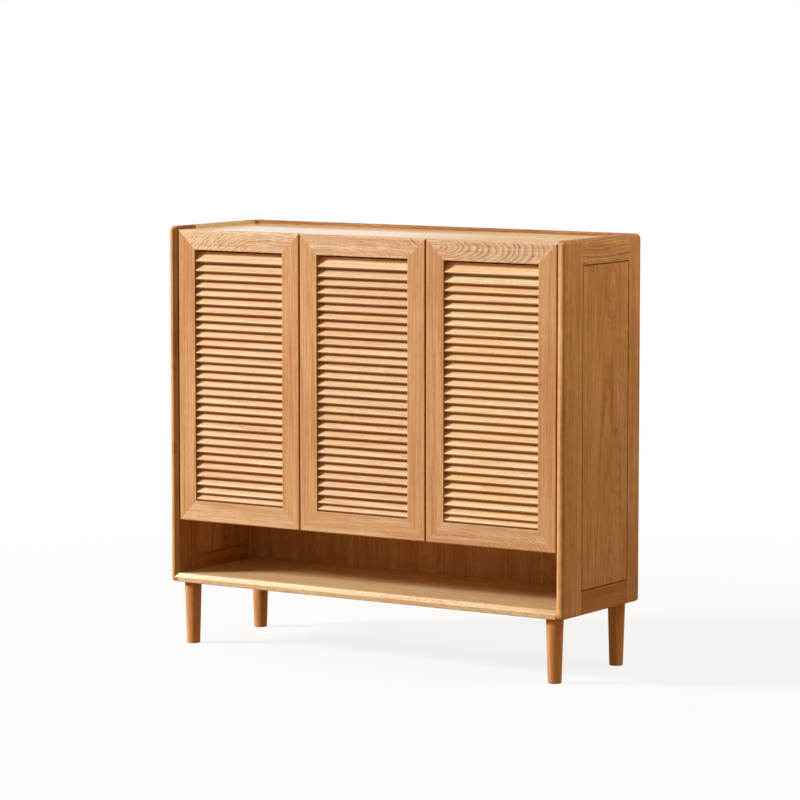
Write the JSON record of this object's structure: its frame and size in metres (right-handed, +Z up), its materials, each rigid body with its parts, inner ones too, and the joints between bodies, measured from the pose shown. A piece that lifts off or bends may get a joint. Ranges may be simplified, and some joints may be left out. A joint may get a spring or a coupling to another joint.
{
  "type": "shoe cabinet",
  "caption": "Oak shoe cabinet with louvred hinged doors over an open shoe niche, framed side panels, adjustable shelves and turned legs.",
  "frame": {"origin": "on the floor, under the middle of the cabinet", "axes": "+Z up; -Y is the front, where the doors are; +X to the right of someone facing the doors"},
  "size_m": [1.1, 0.35, 1.01],
  "materials": {
    "carcass": "satin",
    "panels": "satin",
    "door_frames": "satin",
    "slats": "satin",
    "steel": "zinc plated",
    "pads": "matt"
  },
  "bodies": {
    "carcass": {"left_side_front_stile": "carcass", "left_side_back_stile": "carcass", "left_side_top_rail": "carcass", "left_side_bottom_rail": "carcass", "left_side_panel": "panels", "right_side_front_stile": "carcass", "right_side_back_stile": "carcass", "right_side_top_rail": "carcass", "right_side_bottom_rail": "carcass", "right_side_panel": "panels", "bottom_board": "carcass", "middle_board": "carcass", "top_board": "carcass", "left_partition": "carcass", "right_partition": "carcass", "back_rail": "carcass", "back_panel_left": "panels", "back_panel_right": "panels", "back_batten": "carcass", "front_left_leg": "carcass", "front_right_leg": "carcass", "back_left_leg": "carcass", "back_right_leg": "carcass", "leg_bolts": "steel", "left_shelf_1": "carcass", "left_shelf_2": "carcass", "left_shelf_3": "carcass", "middle_shelf_1": "carcass", "middle_shelf_2": "carcass", "middle_shelf_3": "carcass", "right_shelf_1": "carcass", "right_shelf_2": "carcass", "right_shelf_3": "carcass", "shelf_pins": "steel", "left_door_hinge_arms": "steel", "middle_door_hinge_arms": "steel", "right_door_hinge_arms": "steel"},
    "door_left": {"left_door_bottom_rail": "door_frames", "left_door_top_rail": "door_frames", "left_door_left_stile": "door_frames", "left_door_right_stile": "door_frames", "left_door_slats": "slats", "left_door_hinge_cups": "steel", "left_door_bumpers": "pads"},
    "door_middle": {"middle_door_bottom_rail": "door_frames", "middle_door_top_rail": "door_frames", "middle_door_left_stile": "door_frames", "middle_door_right_stile": "door_frames", "middle_door_slats": "slats", "middle_door_hinge_cups": "steel", "middle_door_bumpers": "pads"},
    "door_right": {"right_door_bottom_rail": "door_frames", "right_door_top_rail": "door_frames", "right_door_left_stile": "door_frames", "right_door_right_stile": "door_frames", "right_door_slats": "slats", "right_door_hinge_cups": "steel", "right_door_bumpers": "pads"}
  },
  "joints": [
    {"name": "left_door_hinge", "type": "hinge", "parent": "carcass", "child": "door_left", "pos_m": [-0.526, -0.169, 0.652], "axis": [0, 0, -1], "range_deg": [0, 95]},
    {"name": "middle_door_hinge", "type": "hinge", "parent": "carcass", "child": "door_middle", "pos_m": [-0.1743, -0.169, 0.652], "axis": [0, 0, -1], "range_deg": [0, 95]},
    {"name": "right_door_hinge", "type": "hinge", "parent": "carcass", "child": "door_right", "pos_m": [0.526, -0.169, 0.652], "axis": [0, 0, 1], "range_deg": [0, 95]}
  ]
}
